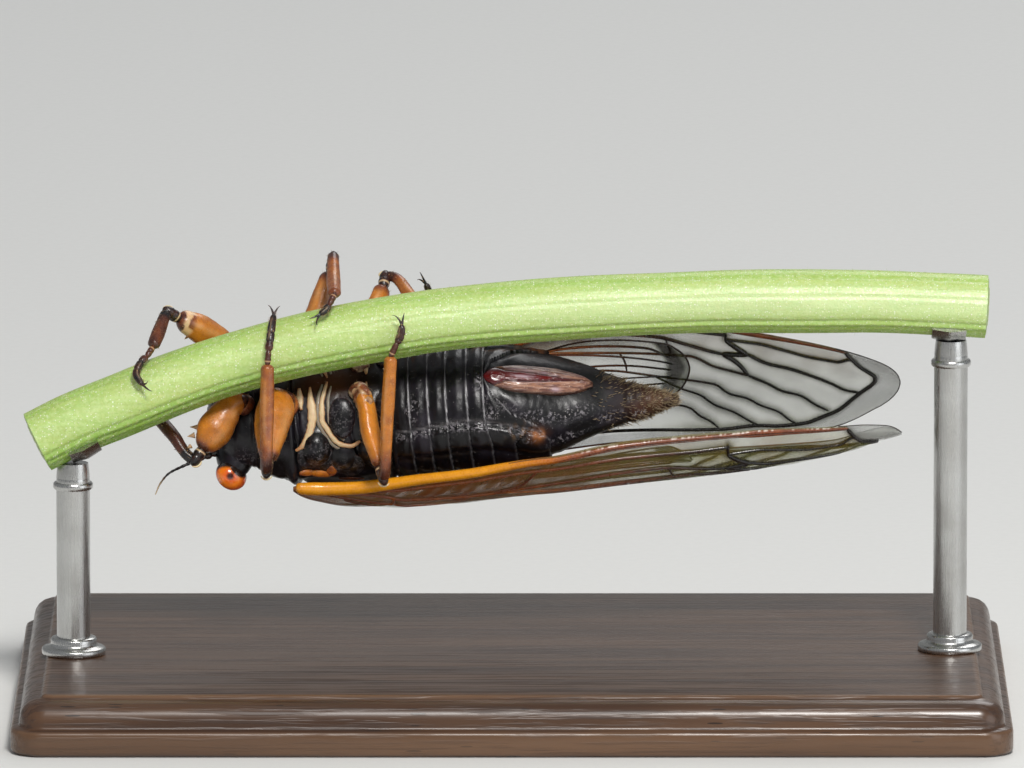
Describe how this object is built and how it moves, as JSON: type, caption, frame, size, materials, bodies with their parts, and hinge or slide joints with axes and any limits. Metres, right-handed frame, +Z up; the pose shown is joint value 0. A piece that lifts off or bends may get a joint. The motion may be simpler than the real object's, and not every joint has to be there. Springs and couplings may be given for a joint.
{
  "type": "periodical cicada",
  "caption": "Life-size periodical cicada clinging under a cut green stem, belly outward, wings folded as a roof, on a plain display stand.",
  "frame": {"origin": "middle of the underside of the stand's base", "axes": "+X from the insect's head end to its wing tips along the stem, +Y away from the viewer, +Z up"},
  "size_m": [0.052, 0.032, 0.0237],
  "materials": {
    "black_shell": "satin black with a bluish grey sheen and fine pale hairs",
    "red_eye": "glossy orange red with a dark middle",
    "amber_limb": "glossy amber to reddish orange",
    "brown_limb": "glossy reddish brown",
    "dark_limb": "near black, half gloss",
    "dark_red_sheath": "glossy dark red with fine lengthwise lines",
    "wing_membrane": "clear tinted film with orange and black veins",
    "green_stem": "waxy yellow green with fine ridges and short pale hairs",
    "stand_wood": "dark stained and waxed",
    "rod_steel": "fine brushed"
  },
  "bodies": {
    "root": {"abdomen": "black_shell", "anal_tube": "black_shell", "antenna_left": "dark_limb", "antenna_right": "dark_limb", "eye_left": "red_eye", "eye_right": "red_eye", "forewing_left": "wing_membrane", "forewing_right": "wing_membrane", "head": "black_shell", "hindwing_left": "wing_membrane", "hindwing_right": "wing_membrane", "leg_fore_left_femur": "amber_limb", "leg_fore_left_tarsus": "dark_limb", "leg_fore_left_tibia": "brown_limb", "leg_fore_right_femur": "amber_limb", "leg_fore_right_tarsus": "dark_limb", "leg_fore_right_tibia": "brown_limb", "leg_hind_left_femur": "amber_limb", "leg_hind_left_tarsus": "dark_limb", "leg_hind_left_tibia": "brown_limb", "leg_hind_right_femur": "amber_limb", "leg_hind_right_tarsus": "dark_limb", "leg_hind_right_tibia": "brown_limb", "leg_mid_left_femur": "amber_limb", "leg_mid_left_tarsus": "dark_limb", "leg_mid_left_tibia": "brown_limb", "leg_mid_right_femur": "amber_limb", "leg_mid_right_tarsus": "dark_limb", "leg_mid_right_tibia": "brown_limb", "mesothorax": "black_shell", "metathorax": "black_shell", "ovipositor": "dark_red_sheath", "perch_stem": "green_stem", "pronotum": "black_shell", "pygofer": "black_shell", "rostrum": "dark_limb", "stand_base": "stand_wood", "stand_rod_left": "rod_steel", "stand_rod_right": "rod_steel"}
  },
  "joints": []
}
